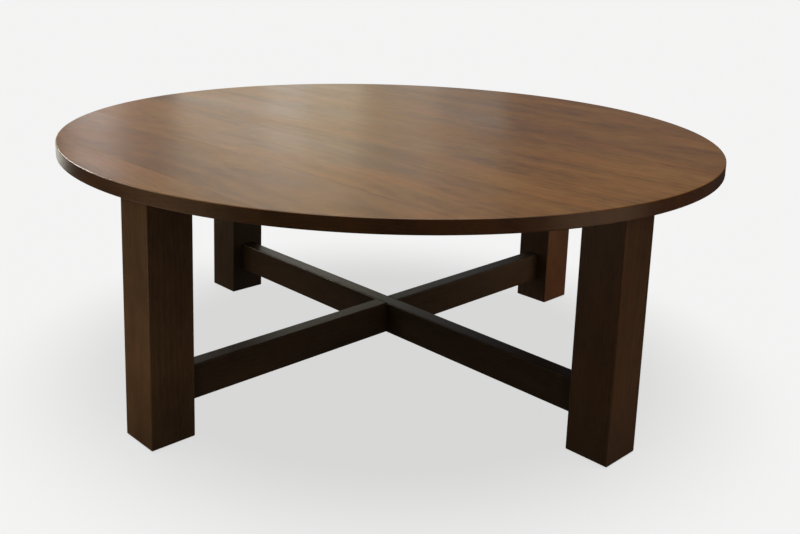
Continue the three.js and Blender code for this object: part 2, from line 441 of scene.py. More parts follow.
@dataclass
class Recipe:
    """A material or a surround in the making, with short ways to add nodes to its tree.

    Args:
        owner: The material or the surround.
    """

    owner: bpy.types.Material | bpy.types.World

    @classmethod
    def of(cls, owner: bpy.types.Material | bpy.types.World) -> "Recipe":
        """Starts a recipe.

        Args:
            owner: A new material or surround.

        Returns:
            The recipe, with no nodes yet.
        """
        owner.use_nodes = True
        owner.node_tree.nodes.clear()
        return cls(owner)

    @classmethod
    def named(cls, name: str) -> "Recipe":
        """Starts a recipe for a new material."""
        return cls.of(bpy.data.materials.new(name))

    def node(self, kind: str, inputs: dict | None = None, **settings: object) -> bpy.types.Node:
        """Adds a node.

        Args:
            kind: The node's type, without its common first part.
            inputs: Values for its inputs or sockets to join to them, by name or place.
            settings: Its own settings.

        Returns:
            The node.
        """
        tree = self.owner.node_tree
        made = tree.nodes.new("ShaderNode" + kind)
        for key, value in settings.items():
            setattr(made, key, value)
        for key, value in (inputs or {}).items():
            if isinstance(value, Socket):
                tree.links.new(value, made.inputs[key])
            else:
                made.inputs[key].default_value = value
        return made

    def coordinates(self) -> Socket:
        """The place on the piece, in metres."""
        return self.node("TexCoord").outputs["Object"]

    def turned(self, vector: Socket, grain: Grain, kind: str = "POINT") -> Socket:
        """A place, or a direction where the kind is NORMAL, turned so that the fibres run along X."""
        return self.node("Mapping", {"Vector": vector, "Rotation": grain.value}, vector_type=kind).outputs[0]

    def shifted(self, place: Socket, step: Socket | Point) -> Socket:
        """A place with a step added."""
        return self.node("VectorMath", {0: place, 1: step}, operation="ADD").outputs[0]

    def stretched(self, place: Socket, scale: Point) -> Socket:
        """A place with each of its parts multiplied."""
        return self.node("VectorMath", {0: place, 1: scale}, operation="MULTIPLY").outputs[0]

    def part(self, vector: Socket, axis: int) -> Socket:
        """One part of a vector."""
        return self.node("SeparateXYZ", {0: vector}).outputs[axis]

    def noise(self, place: Socket, pattern: Pattern, output: int = 0) -> Socket:
        """Soft noise, mostly between 0.3 and 0.7.

        Args:
            place: Where to take it.
            pattern: Its kind.
            output: 0 for a value and 1 for a vector.

        Returns:
            The noise.
        """
        inputs = {"Scale": 1.0, "Detail": pattern.detail, "Roughness": pattern.rough}
        scaled = self.stretched(place, pattern.scale)
        return self.node("TexNoise", {"Vector": scaled, **inputs}).outputs[output]

    def math(self, operation: str, first: Socket | float, second: Socket | float = 0.0) -> Socket:
        """One step of arithmetic on two values."""
        return self.node("Math", {0: first, 1: second}, operation=operation).outputs[0]

    def ranged(self, value: Socket, span: Span, to: Span = (0.0, 1.0)) -> Socket:
        """A value carried from one span to another and held within it."""
        inputs = {"Value": value, "From Min": span[0], "From Max": span[1], "To Min": to[0], "To Max": to[1]}
        return self.node("MapRange", inputs).outputs[0]

    def mixed(self, share: Socket | float, first: object, second: object, blend: str = "MIX") -> Socket:
        """Two colours mixed by a share."""
        inputs = {0: share, MIX_FIRST: first, MIX_SECOND: second}
        return self.node("Mix", inputs, data_type="RGBA", blend_type=blend).outputs[MIX_RESULT]

    def tinted(self, share: Socket | float, colour: Socket, tint: Colour) -> Socket:
        """A colour that is multiplied by a tint where the share is 1, and left alone where it is 0."""
        return self.mixed(share, colour, paint(tint), "MULTIPLY")

    def bumped(self, strength: float, depth: float, height: Socket) -> Socket:
        """The surface's direction with a bump of this depth in it."""
        return self.node("Bump", {"Strength": strength, "Distance": depth, "Height": height}).outputs[0]

    def finished(self, inputs: dict) -> bpy.types.Material:
        """Ends a material's recipe with its shader and gives the material."""
        self.node("OutputMaterial", {"Surface": self.node("BsdfPrincipled", inputs).outputs[0]})
        return self.owner


def paint(colour: Colour) -> tuple[float, float, float, float]:
    """A colour with full cover."""
    return (*colour, 1.0)


@dataclass(frozen=True)
class WoodFinish:
    """Stained wood under a satin lacquer: growth rings, long streaks, fine fibres and short dark pores.

    A depth is how much of the tone a pattern takes. A span is the range of a pattern that is carried to the
    range from 0 to 1.

    Args:
        light: Colour of the pale wood.
        dark: Colour of the dark wood.
        warm: Colour of the orange streaks in it.
        worn: Colour that shows through on eased edges.
        end_tint: What end grain, which drinks more stain, is multiplied by.
        rim_shade_tint: Painted shade: what upright faces are multiplied by, so that they look darker than the
            faces lit from above.
        inner_shade_tint: Painted shade: what a face that looks towards the table's middle, under the top, is
            multiplied by.
        foot_shade_reach: How far up from the floor a leg's foot gets painted shade.
        corner_shade_tint: Painted shade: what the wood is multiplied by in the corner where a shoulder meets
            the next piece.
        corner_shade_reach: How far from the shoulder the painted shade goes.
        ring_pitch: Metres between growth rings.
        ring_flare: How fast the rings widen along the fibres.
        ring_span: Span of the rings' wave.
        ring_depth: Depth of the rings.
        streak: The long streaks.
        streak_depth: Their depth.
        mottle: The short flecks.
        mottle_depth: Their depth.
        fibre: The fine fibres.
        fibre_depth: Their depth.
        cloud: The broad clouds of the stain.
        cloud_depth: Their depth.
        tone_span: Span of the tone, from dark to pale.
        heart: The orange streaks.
        warm_span: Their span.
        warm_depth: How far an orange streak goes towards its colour.
        pore: The pores.
        pore_span: Their span.
        pore_depth: How much darker a pore is.
        sway: The fibres' slow sideways sway.
        sway_reach: How far they sway.
        wear: How much of the worn colour shows on an eased edge.
        wear_span: Span of the clouds in which it shows.
        roughness: Roughness of the lacquer.
        roughness_swing: How far it varies.
        gloss_span: Span over which it varies.
        specular: Specular level of the lacquer.
        relief: Strength of the bump that the fibres and pores give.
        relief_depth: Depth of that bump.
        fibre_relief: How high a fibre stands in it, over the depth of a pore.
    """

    light: Colour
    dark: Colour
    warm: Colour
    worn: Colour
    end_tint: Colour = (0.8, 0.66, 0.6)
    rim_shade_tint: Colour = WHITE
    inner_shade_tint: Colour = (0.66, 0.82, 1.0)
    foot_shade_reach: float = 130 * MM
    corner_shade_tint: Colour = (0.35, 0.38, 0.42)
    corner_shade_reach: float = 38 * MM
    ring_pitch: float = 5.5 * MM
    ring_flare: float = 0.02
    ring_span: Span = (-0.6, 1.0)
    ring_depth: float = 0.16
    streak: Pattern = Pattern((3.6, 16.0, 16.0), 2.0)
    streak_depth: float = 1.3
    mottle: Pattern = Pattern((34.0, 60.0, 60.0), 2.0)
    mottle_depth: float = 0.65
    fibre: Pattern = Pattern((26.0, 300.0, 300.0), 3.0, 0.6)
    fibre_depth: float = 0.75
    cloud: Pattern = Pattern((3.0, 6.0, 6.0), 2.0)
    cloud_depth: float = 1.1
    tone_span: Span = (0.1, 0.9)
    heart: Pattern = Pattern((4.5, 18.0, 18.0), 3.0)
    warm_span: Span = (0.5, 0.72)
    warm_depth: float = 0.75
    pore: Pattern = Pattern((38.0, 820.0, 820.0), 1.0)
    pore_span: Span = (0.6, 0.7)
    pore_depth: float = 0.3
    sway: Pattern = Pattern((1.3, 5.0, 5.0), 2.0)
    sway_reach: float = 50 * MM
    wear: float = 0.25
    wear_span: Span = (0.3, 0.6)
    roughness: float = 0.33
    roughness_swing: float = 0.1
    gloss_span: Span = (0.35, 0.65)
    specular: float = 0.5
    relief: float = 0.22
    relief_depth: float = 0.12 * MM
    fibre_relief: float = 0.5

    def wandering(self, recipe: Recipe, place: Socket) -> Socket:
        """The place with a slow sway added across the fibres: noise less one half, times the reach."""
        centred = recipe.shifted(recipe.noise(place, self.sway, 1), (-0.5, -0.5, -0.5))
        return recipe.shifted(place, recipe.stretched(centred, (0.0, self.sway_reach, self.sway_reach)))

    def rings(self, recipe: Recipe, fibres: Socket, pith: Span) -> Socket:
        """Growth rings, 0 to 1: a sine of the distance from the tree's middle over the rings' pitch.

        Args:
            recipe: The material in the making.
            fibres: The place, with the fibres along the first axis.
            pith: How far the tree's middle lies to the side of the piece and below it.

        Returns:
            The rings.
        """
        flat = recipe.stretched(recipe.shifted(fibres, (0.0, *pith)), (self.ring_flare, 1.0, 1.0))
        radius = recipe.node("VectorMath", {0: flat}, operation="LENGTH").outputs["Value"]
        wave = recipe.math("SINE", recipe.math("MULTIPLY", radius, 2 * math.pi / self.ring_pitch))
        return recipe.ranged(wave, self.ring_span)

    def summed(self, recipe: Recipe, parts: list[tuple[Socket, float]]) -> Socket:
        """One half, plus each pattern less one half, times its depth.

        Args:
            recipe: The material in the making.
            parts: The patterns and their depths.

        Returns:
            The tone.
        """
        total = 0.5
        for value, depth in parts:
            share = recipe.math("MULTIPLY", recipe.math("SUBTRACT", value, 0.5), depth)
            total = recipe.math("ADD", share, total)
        return total

    def corner_shaded(self, recipe: Recipe, laid: Socket, wood: Socket, shoulder: float) -> Socket:
        """The wood's colour with painted shade: darker towards its shoulders, in the corner against the next
        piece.

        The share is how far the place along the fibres has come over the last stretch before the shoulder.

        Args:
            recipe: The material in the making.
            laid: The place on the piece, with the fibres along the first axis.
            wood: The wood's colour.
            shoulder: From the piece's middle to its shoulders.

        Returns:
            The colour to go on with.
        """
        along = recipe.math("ABSOLUTE", recipe.part(laid, 0))
        share = recipe.ranged(along, (shoulder - self.corner_shade_reach, shoulder))
        return recipe.tinted(share, wood, self.corner_shade_tint)

    def foot_shaded(self, recipe: Recipe, wood: Socket, foot: Colour) -> Socket:
        """The wood's colour with painted shade: darker the further the height has fallen over the last
        stretch to the floor.
        """
        height = recipe.part(recipe.coordinates(), 2)
        return recipe.tinted(recipe.ranged(height, (self.foot_shade_reach, 0.0)), wood, foot)

    def inner_shaded(self, recipe: Recipe, wood: Socket, inward: Point) -> Socket:
        """The wood's colour with painted shade: darker on the face that looks towards the table's middle.

        The share is the dot product of the surface's direction and the direction to the middle.

        Args:
            recipe: The material in the making.
            wood: The wood's colour.
            inward: The level direction from the piece to the table's middle.

        Returns:
            The colour to go on with.
        """
        inputs = {0: recipe.node("NewGeometry").outputs["Normal"], 1: inward}
        facing = recipe.node("VectorMath", inputs, operation="DOT_PRODUCT").outputs["Value"]
        return recipe.tinted(recipe.ranged(facing, (0.0, 1.0)), wood, self.inner_shade_tint)

    def stained_ends_shaded_rims(self, recipe: Recipe, grain: Grain, wood: Socket) -> Socket:
        """The wood's colour, tinted on end grain, which drinks more stain, and darkened on upright faces as
        painted shade.

        End grain is the square of how far the surface faces along the fibres, and an upright face is one less
        the square of how far it faces up or down.

        Args:
            recipe: The material in the making.
            grain: The way the fibres run.
            wood: The wood's colour.

        Returns:
            The colour to go on with.
        """
        normal = recipe.node("NewGeometry").outputs["Normal"]
        along = recipe.part(recipe.turned(normal, grain, "NORMAL"), 0)
        level = recipe.part(normal, 2)
        upright = recipe.math("SUBTRACT", 1.0, recipe.math("MULTIPLY", level, level))
        ended = recipe.tinted(recipe.math("MULTIPLY", along, along), wood, self.end_tint)
        # painted shade: upright faces are darkened as if they got less light than the faces that look up
        return recipe.tinted(upright, ended, self.rim_shade_tint)

    def material(
        self,
        name: str,
        grain: Grain,
        shift: Point,
        pith: Span,
        tone: Colour,
        inward: Point | None = None,
        foot: Colour | None = None,
        shoulder: float | None = None,
    ) -> bpy.types.Material:
        """The finish on one piece of wood.

        Args:
            name: The material's name.
            grain: The way the fibres run.
            shift: Where in the tree the piece was cut, so that no two pieces look alike.
            pith: How far the tree's middle lies to the side of the piece and below it.
            tone: What the piece's colour is multiplied by: no two pieces take the stain alike.
            inward: The level direction to the table's middle, for a leg's painted inner shade.
            foot: Painted shade: what a leg's colour is multiplied by down at the floor.
            shoulder: From the piece's middle to its shoulders, for the painted shade in the corners of a
                piece that ends in them.

        Returns:
            The material.
        """
        recipe = Recipe.named(name)
        laid = recipe.turned(recipe.coordinates(), grain)
        place = recipe.shifted(laid, shift)
        fibres = self.wandering(recipe, place)
        fibre = recipe.noise(fibres, self.fibre)
        cloud = recipe.noise(place, self.cloud)
        pore = recipe.ranged(recipe.noise(fibres, self.pore), self.pore_span)

        figure = self.summed(recipe, [
            (recipe.noise(fibres, self.streak), self.streak_depth),
            (recipe.noise(fibres, self.mottle), self.mottle_depth),
            (fibre, self.fibre_depth),
            (cloud, self.cloud_depth),
            (self.rings(recipe, fibres, pith), self.ring_depth),
        ])
        wood = recipe.mixed(recipe.ranged(figure, self.tone_span), paint(self.dark), paint(self.light))
        heart = recipe.ranged(recipe.noise(fibres, self.heart), self.warm_span)
        wood = recipe.mixed(recipe.math("MULTIPLY", heart, self.warm_depth), wood, paint(self.warm))
        wood = self.stained_ends_shaded_rims(recipe, grain, recipe.tinted(1.0, wood, tone))
        # painted shade on the face that looks towards the table's middle
        if inward is not None:
            wood = self.inner_shaded(recipe, wood, inward)
        # painted shade on a leg, darker towards the floor
        if foot is not None:
            wood = self.foot_shaded(recipe, wood, foot)
        # painted shade in the corners where the rail meets a leg
        if shoulder is not None:
            wood = self.corner_shaded(recipe, laid, wood, shoulder)
        wood = recipe.tinted(recipe.math("MULTIPLY", pore, self.pore_depth), wood, BLACK)
        arris = recipe.node("Attribute", attribute_name="arris").outputs["Fac"]
        rubbed = recipe.math("MULTIPLY", arris, recipe.ranged(cloud, self.wear_span))

        gloss = recipe.math("MULTIPLY", recipe.math("ADD", fibre, cloud), 0.5)
        swing = (self.roughness - self.roughness_swing / 2, self.roughness + self.roughness_swing / 2)
        height = recipe.math("SUBTRACT", recipe.math("MULTIPLY", fibre, self.fibre_relief), pore)
        return recipe.finished({
            "Base Color": recipe.mixed(recipe.math("MULTIPLY", rubbed, self.wear), wood, paint(self.worn)),
            "Roughness": recipe.ranged(gloss, self.gloss_span, swing),
            "Normal": recipe.bumped(self.relief, self.relief_depth, height),
            "Specular IOR Level": self.specular,
        })


@dataclass(frozen=True)
class ZincFinish:
    """Bright zinc plating on pressed steel: cloudy patches, fine rolling lines and a dull sheen.

    Args:
        bright: Colour of the bright patches.
        dull: Colour of the dull patches.
        patches: The patches.
        patch_span: Range of the patches from dull to bright.
        rolling: The rolling lines.
        gloss_span: Range of the patches over which the roughness varies.
        roughness: Roughness from one end of that range to the other.
        relief: Strength of the bump that the lines give.
        relief_depth: Depth of that bump.
    """

    bright: Colour = (0.62, 0.63, 0.62)
    dull: Colour = (0.44, 0.45, 0.45)
    patches: Pattern = Pattern((160.0, 160.0, 160.0), 3.0)
    patch_span: Span = (0.35, 0.65)
    rolling: Pattern = Pattern((300.0, 300.0, 5000.0), 1.0)
    gloss_span: Span = (0.3, 0.7)
    roughness: Span = (0.3, 0.48)
    relief: float = 0.2
    relief_depth: float = 0.02 * MM

    def material(self) -> bpy.types.Material:
        """The finish, the same on every steel piece.

        Returns:
            The material.
        """
        recipe = Recipe.named("zinc_plating")
        place = recipe.coordinates()
        patches = recipe.noise(place, self.patches)
        share = recipe.ranged(patches, self.patch_span)
        return recipe.finished({
            "Base Color": recipe.mixed(share, paint(self.dull), paint(self.bright)),
            "Metallic": 1.0,
            "Roughness": recipe.ranged(patches, self.gloss_span, self.roughness),
            "Normal": recipe.bumped(self.relief, self.relief_depth, recipe.noise(place, self.rolling)),
        })


@dataclass(frozen=True)
class NylonFinish:
    """Dark moulded nylon with a fine matt grain, scuffed a little.

    Args:
        body: Colour of the moulding.
        scuffed: Colour of its scuffs.
        scuff: The scuffs.
        scuff_span: Range of the pattern in which they show.
        pebble: The matt grain.
        gloss_span: Range of the scuffs over which the roughness varies.
        roughness: Roughness from one end of that range to the other.
        relief: Strength of the bump that the grain gives.
        relief_depth: Depth of that bump.
    """

    body: Colour = (0.012, 0.011, 0.010)
    scuffed: Colour = (0.035, 0.032, 0.029)
    scuff: Pattern = Pattern((220.0, 220.0, 600.0), 4.0)
    scuff_span: Span = (0.5, 0.75)
    pebble: Pattern = Pattern((2600.0, 2600.0, 2600.0), 1.0)
    gloss_span: Span = (0.3, 0.7)
    roughness: Span = (0.45, 0.65)
    relief: float = 0.3
    relief_depth: float = 0.03 * MM

    def material(self) -> bpy.types.Material:
        """The finish, the same on every glide.

        Returns:
            The material.
        """
        recipe = Recipe.named("moulded_nylon")
        place = recipe.coordinates()
        scuff = recipe.noise(place, self.scuff)
        share = recipe.ranged(scuff, self.scuff_span)
        return recipe.finished({
            "Base Color": recipe.mixed(share, paint(self.body), paint(self.scuffed)),
            "Roughness": recipe.ranged(scuff, self.gloss_span, self.roughness),
            "Normal": recipe.bumped(self.relief, self.relief_depth, recipe.noise(place, self.pebble)),
        })


TOP_STAIN = WoodFinish(
    light=(0.3, 0.138, 0.034),
    dark=(0.16, 0.066, 0.0155),
    warm=(0.305, 0.12, 0.028),
    worn=(0.3, 0.15, 0.06),
    # painted shade on the top's rim
    rim_shade_tint=(0.5, 0.45, 0.44),
)
FRAME_STAIN = WoodFinish(
    light=(0.165, 0.084, 0.034),
    dark=(0.095, 0.046, 0.017),
    warm=(0.165, 0.074, 0.026),
    worn=(0.20, 0.11, 0.055),
    fibre_depth=0.5,
    roughness=0.42,
    specular=0.3,
)


@dataclass
class TableTop:
    """The round top: boards along X, glued edge to edge, with the rim eased above and below.

    Args:
        boards: How many boards it has.
        rim_ease: Radius of the rim's eased edges.
        seam_ease: Radius of the boards' edges where they meet.
        seam_gap: Width of the line between two boards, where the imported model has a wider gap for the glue.
        arc_step: Angle between points on the rim.
        seam_steps: How many steps the straight edges have.
        pilot_diameter: Diameter of the screw holes from below.
        pilot_play: How far a hole runs past the screw's point.
        cut_step: How far apart in the tree two neighbouring boards were cut.
        pith_side: How far the tree's middle lies to the side of a board, by turns left and right.
        pith_depths: How far it lies below the boards, in turn.
        finish: The wood's finish.
        tones: What the colour of each board is multiplied by.
    """

    boards: int = 8
    rim_ease: float = 1.6 * MM
    seam_ease: float = 0.1 * MM
    seam_gap: float = 0.06 * MM
    arc_step: float = math.radians(0.75)
    seam_steps: int = 12
    pilot_diameter: float = 4.6 * MM
    pilot_play: float = 0.3 * MM
    cut_step: Point = (0.43, 0.17, 0.31)
    pith_side: float = 0.02
    pith_depths: Point = (0.09, 0.1, 0.11)
    finish: WoodFinish = TOP_STAIN
    tones: tuple[float, ...] = (0.97, 0.95, 1.03, 1.01, 1.0, 0.985, 0.95, 0.98)

    def radius(self) -> float:
        """The top's radius, from the widest board."""
        return max(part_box(f"top_board_{number}")[1].x for number in range(1, self.boards + 1))

    def outline(self, inset: np.ndarray, ease: np.ndarray, low: float, high: float) -> np.ndarray:
        """The boards' outlines at several levels.

        A board is what lies between two seams inside the rim's circle. Its outline runs round the right arc,
        back along the upper seam, round the left arc and forth along the lower seam. The arcs' angles are the
        arcsines of the seams' distances over the circle's radius.

        Args:
            inset: How far the rim is drawn in at each level.
            ease: How far the seams are drawn in at each level.
            low: The lower seam's distance from the middle along Y.
            high: The upper seam's distance.

        Returns:
            Outlines of shape (levels, points, 2).
        """
        radius = self.radius()
        rim = (radius - inset)[:, None]
        first = np.arcsin(np.clip((low + ease)[:, None] / rim, -1, 1))
        last = np.arcsin(np.clip((high - ease)[:, None] / rim, -1, 1))
        widest = math.asin(min(high / radius, 1)) - math.asin(max(low / radius, -1))
        share = np.linspace(0, 1, max(2, round(widest / self.arc_step)) + 1)
        right = first + (last - first) * share
        arc = np.stack([rim * np.cos(right), rim * np.sin(right)], axis=-1)
        left = (arc * [-1, 1])[:, ::-1]
        along = np.linspace(0, 1, self.seam_steps + 1)[1:-1][:, None]
        upper = arc[:, -1:] + (left[:, :1] - arc[:, -1:]) * along
        lower = left[:, -1:] + (arc[:, :1] - left[:, -1:]) * along
        return np.concatenate([arc, upper, left, lower], axis=1)

    def seams(self, number: int) -> tuple[float, float]:
        """Where a board's two sides lie: half a line's width from the middle of the gap to the next board.

        Args:
            number: The board's number, from 1.

        Returns:
            The lower side's and the upper side's distance from the middle along Y.
        """
        low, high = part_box(f"top_board_{number}")
        first, last = low.y, high.y
        if number > 1:
            first = (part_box(f"top_board_{number - 1}")[1].y + low.y + self.seam_gap) / 2
        if number < self.boards:
            last = (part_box(f"top_board_{number + 1}")[0].y + high.y - self.seam_gap) / 2
        return first, last

    def board(self, number: int) -> bpy.types.Mesh:
        """One board, with the holes for the screws that hold it from below.

        Args:
            number: The board's number, from 1.

        Returns:
            The board's mesh, in place.
        """
        low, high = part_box(f"top_board_{number}")
        inset, depth, eased = eased_edge(self.rim_ease)
        inset, eased = (np.concatenate([row, row[::-1]]) for row in (inset, eased))
        levels = np.concatenate([low.z + depth, (high.z - depth)[::-1]])
        outlines = self.outline(inset, inset * (self.seam_ease / self.rim_ease), *self.seams(number))
        arris = eased[:, None] * np.ones(outlines.shape[1])
        mesh = mesh_of(risen(outlines, arris, levels), f"board_{number}")
        return carved(mesh, self.pilot_holes(low, high))

    def pilot_holes(self, low: Vector, high: Vector) -> list[Surface]:
        """The screw holes of a board.

        Args:
            low: The board's lowest corner.
            high: Its highest corner.

        Returns:
            One bar for each hole.
        """
        holes = []
        for node in nodes_like(end="_top_screw"):
            head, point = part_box(node)
            middle = (head + point) / 2
            if low.y < middle.y < high.y:
                hole = bar(self.pilot_diameter, low.z - self.rim_ease, point.z + self.pilot_play)
                holes.append(hole.placed(Matrix.Translation((middle.x, middle.y, 0))))
        return holes

    def build(self) -> None:
        """Makes and dresses every board."""
        for number, tone in enumerate(self.tones, 1):
            name = f"board_{number}"
            pith = (self.pith_side * (-1) ** number, self.pith_depths[number % len(self.pith_depths)])
            shift = counted(self.cut_step, number)
            material = self.finish.material(f"stained_{name}", Grain.ALONG_X, shift, pith, (tone,) * 3)
            settled(self.board(number), name, Slot.TOP_WOOD, f"top_{name}", material)


@dataclass(frozen=True)
class Joinery:
    """Sizes that the rails' tenons and the legs' mortises share.

    Args:
        tenon_thickness: Thickness of a tenon.
        tenon_shoulder: How far a tenon is set in from the rail's upper and lower faces.
        tenon_ease: Radius of a tenon's edges.
        gap: Play between fitted faces.
        overrun: How far a cut runs past the wood.
    """

    tenon_thickness: float = 12 * MM
    tenon_shoulder: float = 8 * MM
    tenon_ease: float = 0.5 * MM
    gap: float = 0.3 * MM
    overrun: float = 5 * MM


@dataclass
class Leg:
    """A square leg with eased edges, mortised for its two rails and bored for its glide.

    Args:
        side: Where it stands.
        turn: The direction from the table's middle to it, as an angle from X.
        tone: What its colour is multiplied by.
        foot: Painted shade: what its colour is multiplied by again down at the floor.
        ease: Radius of its long edges and of its foot's edges.
        least_ease: What is left of its long edges' radius where the foot is drawn in most.
        glide_recess: Diameter of the glide's recess.
        recess_sides: How many sides it has.
        glide_head: Depth of the recess, from the floor.
        pin_bore: Diameter of the bore for the glide's pin.
        cut_step: How far apart in the tree two neighbouring legs were cut.
        pith: How far the tree's middle lies to its side and below it.
        joinery: Sizes of the mortises.
        finish: The wood's finish.
    """

    side: Side
    turn: float
    tone: Colour
    foot: Colour
    ease: float = 2.0 * MM
    least_ease: float = 0.1 * MM
    glide_recess: float = 30 * MM
    recess_sides: int = 48
    glide_head: float = 4.3 * MM
    pin_bore: float = 5.6 * MM
    cut_step: Point = (0.71, 0.19, 0.07)
    pith: Span = (0.05, 0.06)
    joinery: Joinery = Joinery()
    finish: WoodFinish = FRAME_STAIN

    def node(self) -> str:
        """The node's name."""
        return f"leg_{self.side.value}"

    def rails(self) -> list[str]:
        """The two rails that end in this leg."""
        lap = Lap.OVER if abs(math.cos(self.turn)) > abs(math.sin(self.turn)) else Lap.UNDER
        return [f"{level.value}_rail_{lap.value}" for level in Level]

    def mortises(self, middle: Vector, half: float) -> list[Surface]:
        """What is cut out for the tenons, from the leg's inner face outwards.

        Args:
            middle: The leg's middle.
            half: Half its width.

        Returns:
            One block for each rail.
        """
        joinery = self.joinery
        inner = math.hypot(middle.x, middle.y) - half - joinery.overrun
        width = joinery.tenon_thickness / 2 + joinery.gap
        cuts = []
        for rail in self.rails():
            low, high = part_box(rail)
            end = max(high.x, high.y) + joinery.gap
            floor = low.z + joinery.tenon_shoulder - joinery.gap
            ceiling = high.z - joinery.tenon_shoulder + joinery.gap
            cut = block((inner, -width, floor), (end, width, ceiling))
            cuts.append(cut.placed(Matrix.Rotation(self.turn, 4, "Z")))
        return cuts

    def glide_bores(self, middle: Vector, foot: float) -> list[Surface]:
        """What is cut out for the glide.

        Args:
            middle: The leg's middle.
            foot: Height of the foot.

        Returns:
            The recess for the glide's head, and the bore for its pin.
        """
        pin_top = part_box(f"glide_{self.side.value}")[1].z + self.joinery.gap
        head = bar(self.glide_recess, foot - self.joinery.overrun, self.glide_head, self.recess_sides)
        pin = bar(self.pin_bore, foot, pin_top)
        place = Matrix.Translation((middle.x, middle.y, 0))
        return [head.placed(place), pin.placed(place)]

    def wood(self) -> bpy.types.Mesh:
        """Makes the leg's mesh.

        A square outline with round corners is carried up Z. At the foot it is drawn in along a quarter
        circle.

        Returns:
            The mesh, in place.
        """
        low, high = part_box(self.node())
        middle = (low + high) / 2
        half = (high.x - low.x) / 2
        inset, depth, eased = eased_edge(self.ease)
        outlines, corner_arris = zip(*[
            eased_rectangle(half - step, half - step, max(self.ease - step, self.least_ease))
            for step in np.append(inset, 0.0)
        ])
        arris = np.maximum(np.array(corner_arris), np.append(eased, 0.0)[:, None])
        heights = np.append(low.z + depth, high.z)
        solid = risen(np.array(outlines), arris, heights, middle.x, middle.y)
        mesh = mesh_of(solid, f"{self.node()}_wood")
        return carved(mesh, self.mortises(middle, half) + self.glide_bores(middle, low.z))

    def build(self, number: int) -> None:
        """Makes and dresses the leg.

        Args:
            number: Its number, from 1.
        """
        low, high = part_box(self.node())
        # the direction for the painted shade on the leg's inner faces
        inward = -Vector((low.x + high.x, low.y + high.y, 0)).normalized()
        material = self.finish.material(
            f"stained_leg_{self.side.value}",
            Grain.ALONG_Z,
            counted(self.cut_step, number),
            self.pith,
            self.tone,
            inward=tuple(inward),
            foot=self.foot,
        )
        settled(self.wood(), f"{self.node()}_wood", Slot.FRAME_WOOD, self.node(), material)


